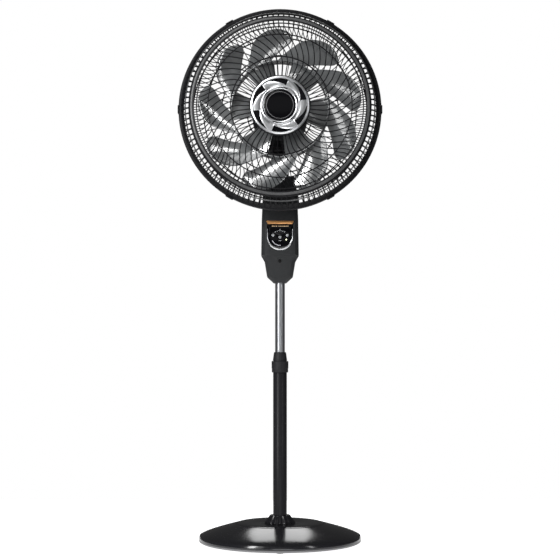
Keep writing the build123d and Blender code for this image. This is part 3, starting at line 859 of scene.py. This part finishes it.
def skin_outline(half, front, u):
    """One side of a level's outline, from the middle out: the face, its bevel, then the side."""
    small = min(1.0, half / 30.0)
    bevel = [(half - small * inward, front + small * drop) for inward, drop in (
        (18.0, 0.5), (9.0, 1.6), (2.2, 7.5), (0.0, 11.5))]
    corners = [(0.0, front), *bevel, (half, -0.1)]
    stops = [0.0, 0.4, 0.55, 0.75, 0.85, 1.0]
    for k in range(5):
        if u <= stops[k + 1] or k == 4:
            part = (u - stops[k]) / (stops[k + 1] - stops[k])
            (x0, y0), (x1, y1) = corners[k], corners[k + 1]
            return x0 + (x1 - x0) * part, y0 + (y1 - y0) * part


def cut(piece, kind, **settings):
    """Cuts a round or square bar, standing across the panel's face, out of a piece."""
    fresh()
    if kind == "round":
        bpy.ops.mesh.primitive_cylinder_add(vertices=96, **settings)
    else:
        bpy.ops.mesh.primitive_cube_add(size=1, **settings)
    bar = bpy.context.object
    bpy.ops.object.transform_apply(location=True, rotation=True, scale=True)
    modify(piece, "BOOLEAN", object=bar, operation="DIFFERENCE", solver="EXACT")
    bpy.data.objects.remove(bar)
    return piece


def housing_face():
    """The front half: a skin with bevelled sides and a crease above the clamp."""

    def place(u, v):
        height, half, front = skin_level(v)
        x, y = skin_outline(half, front, abs(2 * u - 1))
        return ((1 if u >= 0.5 else -1) * x, y, height)

    skin = warped(40, len(HOUSING_LEVELS) - 1, place)
    tidy_mesh(skin)
    modify(skin, "SOLIDIFY", thickness=2.6 * MM, offset=-1.0)
    across = (math.pi / 2, 0, 0)
    cut(skin, "round", radius=32.1 * MM, depth=30 * MM, location=(0, -30 * MM, PANEL_Z * MM),
        rotation=across)
    cut(skin, "square", location=(0, -30 * MM, 767.55 * MM), scale=(64.2 * MM, 30 * MM, 31.1 * MM))
    cut(skin, "round", radius=4.4 * MM, depth=30 * MM, location=(0, -30 * MM, 693 * MM),
        rotation=across)
    return settle(smooth(skin, 24), "housing_face", "housing_front")


def housing_shells():
    """The front half as a skin, and the rear half rounded."""
    housing_face()
    return rounded_copy("housing_rear", 1.2, 3)


def flat_mark(x, z, radius):
    """A thin round mark on the panel's face."""
    fresh()
    bpy.ops.mesh.primitive_cylinder_add(vertices=24, radius=radius * MM, depth=MARK_DEPTH * MM,
                                        location=(x * MM, PANEL_FACE * MM, z * MM),
                                        rotation=(math.pi / 2, 0, 0))
    mark = bpy.context.object
    bpy.ops.object.transform_apply(location=True, rotation=True, scale=True)
    return mark


def bar_mark(x, z, width, height, turn=0.0):
    """A thin bar on the panel's face."""
    fresh()
    bpy.ops.mesh.primitive_cube_add(size=1, location=(x * MM, PANEL_FACE * MM, z * MM),
                                    rotation=(0, math.radians(turn), 0),
                                    scale=(width * MM, MARK_DEPTH * MM, height * MM))
    mark = bpy.context.object
    bpy.ops.object.transform_apply(location=True, rotation=True, scale=True)
    return mark


def arc_mark(x, z, radius, start, end, width):
    """An arc band on the panel's face; angles in degrees from +X towards +Z."""

    def place(u, v):
        angle = math.radians(start + (end - start) * u)
        reach = radius + width * (v - 0.5)
        return (x + reach * math.cos(angle), PANEL_FACE, z + reach * math.sin(angle))

    mark = warped(16, 1, place)
    modify(mark, "SOLIDIFY", thickness=MARK_DEPTH * MM, offset=0.0)
    return mark


def panel_pieces():
    """Fascia, chrome U, hood, copper bar, keys and lamp lens."""
    rounded_copy("panel_fascia", 0.5, 3)
    trim_u()
    hood()
    rounded_copy("accent_bar", 0.7, 3)
    for node in ("key_power", "key_timer", "key_swing"):
        rounded_copy(node, 0.35, 3)
    return rounded_copy("led_lens", 0.4, 3)


def trim_u():
    """The chromed U, widest at its lowest point and thinner up both sides."""
    straight_part = 20.0
    length = 2 * straight_part + math.pi * PANEL_ROUND

    def place(u, v):
        along = length * u
        width = 1.7 + 2.8 * math.sin(math.pi * u) ** 2
        if along < straight_part:
            middle, out = (-1, 0), (-PANEL_ROUND, PANEL_Z + straight_part - along)
        elif along > length - straight_part:
            middle, out = (1, 0), (PANEL_ROUND, PANEL_Z + along - length + straight_part)
        else:
            turn = math.pi + (along - straight_part) / PANEL_ROUND
            middle = (math.cos(turn), math.sin(turn))
            out = (PANEL_ROUND * middle[0], PANEL_Z + PANEL_ROUND * middle[1])
        x, z = (out[k] - middle[k] * width * (1 - v) for k in (0, 1))
        return (x, -31.4 - 1.5 * math.sin(math.pi * v), z)

    band = warped(96, 6, place)
    modify(band, "SOLIDIFY", thickness=1.6 * MM, offset=0.0)
    return settle(smooth(band, 40), "trim_u", "panel_trim", coat="soft_chrome")


def hood():
    """The dark flared shade under the copper bar."""

    def place(u, v):
        half = 29.0 + 2.6 * v ** 2
        return (half * (2 * u - 1), -31.5 - 0.7 * v ** 2, 773.0 + 10.6 * v)

    shade_plate = warped(16, 6, place)
    modify(shade_plate, "SOLIDIFY", thickness=0.4 * MM, offset=0.0)
    return settle(smooth(shade_plate), "panel_hood", body="mast", slot="panel_black")


def panel_marks():
    """Plain marks on and round the keys, which ride with the key that they are on. They glow with a
    painted glow, as print with no lamp behind it.
    """
    dots = [flat_mark(x, z, 0.7) for x, z in ((-11.5, 764.6), (-7.0, 766.2), (-2.4, 767.2),
                                              (2.4, 767.2), (7.0, 766.2), (11.5, 764.6))]
    dots += [flat_mark(0, 770.4, 0.7), bar_mark(0, 742.6, 5.0, 0.7)]
    dashes, x = [], -20.0
    for width in (4.6, 2.0, 3.4, 0.0, 2.6, 3.2, 2.0, 4.0, 3.0, 2.4):
        if width:
            dashes.append(bar_mark(x + width / 2, 778.6, width, 1.5))
        x += width + 1.5
    ticks = [bar_mark(KEYS[n][0], KEYS[n][1], 2.4, 0.8, 45.0 * n) for n in range(3)]
    ticks += [arc_mark(*KEYS[n], 2.6, 100, 440, 0.7) for n in range(3)]
    for n, body in enumerate(("power_key", "timer_key", "swing_key")):
        mark = joined(ticks[n], ticks[n + 3])
        mark.data.transform(Matrix.Translation((0, -0.45 * MM, 0)))
        settle(mark, body + "_mark", body=body, slot="panel_black", coat="marking")
    scale = arc_mark(0, 752, 21.0, 205, 275, 1.4)
    for group, name, coat in ((dots, "panel_dots", "marking"), (dashes, "panel_line", "gold_mark")):
        marks = settle(joined(*group), name, body="mast", slot="panel_black", coat=coat)
        marks.data.transform(Matrix.Translation((0, -0.35 * MM, 0)))
    return settle(scale, "panel_scale", body="mast", slot="panel_black", coat="marking_dim")


# --- Stage --------------------------------------------------------------------------------------

def camera(stage):
    """The camera, low in front of the fan and tilted up a little."""
    fresh()
    bpy.ops.object.camera_add(location=(0, -stage.distance, stage.height),
                              rotation=(math.radians(90 + stage.tilt), 0, 0))
    eye = bpy.context.object
    eye.name = "camera"
    eye.data.lens = stage.lens
    eye.data.sensor_width = 36.0
    eye.data.clip_end = 60.0
    bpy.context.scene.camera = eye
    return eye


def softbox(name, place, aim, width, watts, height=None):
    """A soft rectangular lamp, square unless its height is given."""
    fresh()
    bpy.ops.object.light_add(type="AREA", location=place)
    lamp = bpy.context.object
    lamp.name = name
    lamp.data.shape = "RECTANGLE"
    lamp.data.size = width
    lamp.data.size_y = height or width
    lamp.data.energy = watts
    lamp.rotation_euler = (Vector(aim) - Vector(place)).to_track_quat("-Z", "Y").to_euler()
    return lamp


def sweep_floor():
    """A small pale sheet under the base, which glows so that it runs into the background."""
    fresh()
    bpy.ops.mesh.primitive_plane_add(size=1, location=(0, 0.1, 0))
    floor = bpy.context.object
    floor.scale = (2.2, 1.6, 1)
    bpy.ops.object.transform_apply(location=True, rotation=True, scale=True)
    floor.name = "floor"
    sheet = Sheet("pale_floor")
    tone = sheet.noise(3.0)
    sheet.set(
        Base_Color=sheet.mix(tone, (0.86, 0.86, 0.86, 1), (0.9, 0.9, 0.9, 1)),
        Roughness=0.6,
        Emission_Color=(1, 1, 1, 1),
        Emission_Strength=0.95,
    )
    floor.data.materials.append(sheet.material)
    return floor


def studio_air(strength, seen):
    """Even grey light all round, with a pale background for the camera."""
    world = bpy.data.worlds.new("studio")
    bpy.context.scene.world = world
    world.use_nodes = True
    tree = world.node_tree
    tree.nodes.clear()
    path = tree.nodes.new("ShaderNodeLightPath")
    blend = tree.nodes.new("ShaderNodeMixShader")
    light = tree.nodes.new("ShaderNodeBackground")
    view = tree.nodes.new("ShaderNodeBackground")
    output = tree.nodes.new("ShaderNodeOutputWorld")
    light.inputs["Color"].default_value = (1, 1, 1, 1)
    light.inputs["Strength"].default_value = strength
    view.inputs["Color"].default_value = (1, 1, 1, 1)
    view.inputs["Strength"].default_value = seen
    tree.links.new(path.outputs["Is Camera Ray"], blend.inputs[0])
    tree.links.new(light.outputs[0], blend.inputs[1])
    tree.links.new(view.outputs[0], blend.inputs[2])
    tree.links.new(blend.outputs[0], output.inputs["Surface"])


# --- Settings -------------------------------------------------------------------------------------

def colour_property(name, what, value):
    """A colour that a user can change."""
    return bpy.props.FloatVectorProperty(name=name, description=what, default=value,
                                         subtype="COLOR", size=3, min=0.0, max=1.0)


class FanColours(bpy.types.PropertyGroup):
    """Colours of the visible pieces."""

    base: colour_property("Base", "Gloss plastic of the base", (0.012, 0.012, 0.014))
    rim: colour_property("Base rim", "Grey rim under the dome", (0.14, 0.14, 0.145))
    pole: colour_property("Pole", "Paint of the lower tube", (0.016, 0.016, 0.018))
    collar: colour_property("Collar", "Plastic of the height collar", (0.016, 0.016, 0.018))
    housing: colour_property("Housing", "Plastic of the control housing", (0.026, 0.0275, 0.029))
    accent: colour_property("Accent", "Bar above the panel", (0.62, 0.31, 0.12))
    guard: colour_property("Guard", "Plastic of the guards", (0.008, 0.008, 0.0095))
    # Lighter than the guard: partly the rings' own grey, partly a painted highlight.
    ring: colour_property("Guard ring", "Grey rings on the front guard", (0.075, 0.076, 0.078))
    blades: colour_property("Blades", "Tinted plastic of the blades", (0.2, 0.21, 0.215))


class FanSizes(bpy.types.PropertyGroup):
    """Counts of repeated pieces in the head."""

    inner_ribs: bpy.props.IntProperty(name="Inner ribs", description="Ribs inside the middle ring",
                                      default=54, min=12)
    outer_blades: bpy.props.IntProperty(name="Outer blades",
                                        description="Swept blades outside the ring",
                                        default=9, min=3)
    inner_blades: bpy.props.IntProperty(name="Inner blades", description="Blades inside the ring",
                                        default=6, min=3)


class FanStage(bpy.types.PropertyGroup):
    """The camera's place, tilt and lens."""

    distance: bpy.props.FloatProperty(name="Distance", description="Camera in front of the pole",
                                      default=3.3, unit="LENGTH")
    height: bpy.props.FloatProperty(name="Height", description="Camera above the floor",
                                    default=0.48, unit="LENGTH")
    tilt: bpy.props.FloatProperty(name="Tilt", description="Camera's upward tilt in degrees",
                                  default=2.9)
    lens: bpy.props.FloatProperty(name="Lens", description="Focal length in millimetres",
                                  default=85.4)


# --- Operators ------------------------------------------------------------------------------------

class FAN_OT_stage(bpy.types.Operator):
    """Set up the floor, the lamps and the camera"""

    bl_idname = "fan.stage"
    bl_label = "Stage"

    def execute(self, context):
        camera(context.scene.fan_stage)
        sweep_floor()
        studio_air(0.06, 1.0)
        softbox("key_softbox", (-1.75, -2.5, 1.5), (0, 0, 0.95), 1.1, 15, 1.9)
        softbox("left_strip", (-1.95, -2.3, 1.45), (0, 0, 1.05), 0.5, 50, 1.7)
        softbox("fill_softbox", (2.3, -2.3, 1.5), (0, 0, 0.8), 0.35, 12, 1.8)
        softbox("low_card", (0.15, -2.45, 0.12), (0, 0, 1.05), 1.2, 7, 0.5)
        softbox("high_card", (-0.7, -2.3, 2.95), (0, 0, 1.05), 1.2, 20, 0.5)
        softbox("top_softbox", (0, -0.5, 3.4), (0, 0, 0), 2.4, 10)
        softbox("front_card", (0, -4.6, 1.95), (0, 0, 1.05), 2.0, 3, 1.0)
        softbox("back_softbox", (0, 2.6, 2.2), (0, 0, 0.9), 1.0, 12)
        context.scene.view_settings.view_transform = "Standard"
        return {"FINISHED"}


class FAN_OT_frame_finish(bpy.types.Operator):
    """Give every frame node the finish of its slot"""

    bl_idname = "fan.frame_finish"
    bl_label = "Frame finishes"

    def execute(self, context):
        for node, piece in frame["nodes"].items():
            piece.data.materials.clear()
            piece.data.materials.append(finish(SLOT_OF[node]))
        return {"FINISHED"}


class FAN_OT_base(bpy.types.Operator):
    """Model the dome, the centre disc, the rim and the pole's socket"""

    bl_idname = "fan.base"
    bl_label = "Base"

    def execute(self, context):
        base_dome()
        centre_plate()
        rim_tray()
        socket_cone()
        return {"FINISHED"}


class FAN_OT_pole(bpy.types.Operator):
    """Model both tubes and the height collar"""

    bl_idname = "fan.pole"
    bl_label = "Pole"

    def execute(self, context):
        pole_tubes()
        height_collar()
        return {"FINISHED"}


class FAN_OT_housing(bpy.types.Operator):
    """Round the control housing and the neck"""

    bl_idname = "fan.housing"
    bl_label = "Control housing"

    def execute(self, context):
        housing_shells()
        for node, width in (("tilt_fork", 1.2), ("tilt_knuckle", 1.0), ("tilt_bolt", 0.4),
                            ("cord_gland", 0.5), ("housing_screws", 0.3)):
            rounded_copy(node, width)
        rounded_copy("tube_screw", 0.4, coat="dark_plug")
        return {"FINISHED"}


class FAN_OT_panel(bpy.types.Operator):
    """Model the control panel, its keys and marks"""

    bl_idname = "fan.panel"
    bl_label = "Panel"

    def execute(self, context):
        panel_pieces()
        panel_marks()
        return {"FINISHED"}


class FAN_OT_motor(bpy.types.Operator):
    """Round the motor covers and the swing pan"""

    bl_idname = "fan.motor"
    bl_label = "Motor covers"

    def execute(self, context):
        for node, width in (("motor_housing_front", 0.8), ("motor_housing_rear", 0.6),
                            ("swing_pan", 1.0), ("guard_nut", 0.8), ("blade_nut", 0.6)):
            rounded_copy(node, width)
        return {"FINISHED"}


class FAN_OT_guards(bpy.types.Operator):
    """Model the front and rear guards with their rings and clips"""

    bl_idname = "fan.guards"
    bl_label = "Guards"

    def execute(self, context):
        sizes = context.scene.fan_sizes
        front_grille(sizes)
        grille_band(210.4, 53.8, 58.6, "front_band", "guard", "ring_grey")
        outer = lathe([(224.6, 43.2), (226.6, 40.4), (227.6, 41.6), (226.6, 44.4), (225.0, 45.4)])
        settle(smooth(at_head(outer)), "outer_band", body="head", slot="guard", coat="ring_grey")
        rear_grille(sizes)
        rim_clips()
        return {"FINISHED"}


class FAN_OT_hub(bpy.types.Operator):
    """Model the chromed hub ring and the cap"""

    bl_idname = "fan.hub"
    bl_label = "Hub"

    def execute(self, context):
        hub_ring()
        hub_cap()
        hub_lines()
        return {"FINISHED"}


class FAN_OT_blades(bpy.types.Operator):
    """Model the blade wheel"""

    bl_idname = "fan.blades"
    bl_label = "Blade wheel"

    def execute(self, context):
        blade_wheel(context.scene.fan_sizes)
        return {"FINISHED"}


OPERATORS = (FAN_OT_stage, FAN_OT_frame_finish, FAN_OT_base, FAN_OT_pole, FAN_OT_housing,
             FAN_OT_panel, FAN_OT_motor, FAN_OT_guards, FAN_OT_hub, FAN_OT_blades)


class FAN_PT_panel(bpy.types.Panel):
    """Lists the fan's pieces and settings"""

    bl_idname = "FAN_PT_panel"
    bl_label = "Pedestal fan"
    bl_space_type = "VIEW_3D"
    bl_region_type = "UI"
    bl_category = "Fan"

    def draw(self, context):
        for operator in OPERATORS:
            self.layout.operator(operator.bl_idname)
        scene = context.scene
        for settings in (scene.fan_sizes, scene.fan_colours, scene.fan_stage):
            for name in settings.__annotations__:
                self.layout.prop(settings, name)


CLASSES = (FanColours, FanSizes, FanStage, *OPERATORS, FAN_PT_panel)


def register():
    """Adds the classes and their settings."""
    for cls in CLASSES:
        bpy.utils.register_class(cls)
    bpy.types.Scene.fan_colours = bpy.props.PointerProperty(type=FanColours)
    bpy.types.Scene.fan_sizes = bpy.props.PointerProperty(type=FanSizes)
    bpy.types.Scene.fan_stage = bpy.props.PointerProperty(type=FanStage)


def unregister():
    """Takes the settings and classes away again."""
    del bpy.types.Scene.fan_stage
    del bpy.types.Scene.fan_sizes
    del bpy.types.Scene.fan_colours
    for cls in reversed(CLASSES):
        bpy.utils.unregister_class(cls)


def main():
    """Builds the fan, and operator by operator."""
    register()
    for operator in OPERATORS:
        group, name = operator.bl_idname.split(".")
        getattr(getattr(bpy.ops, group), name)()


if __name__ == "__main__":
    main()
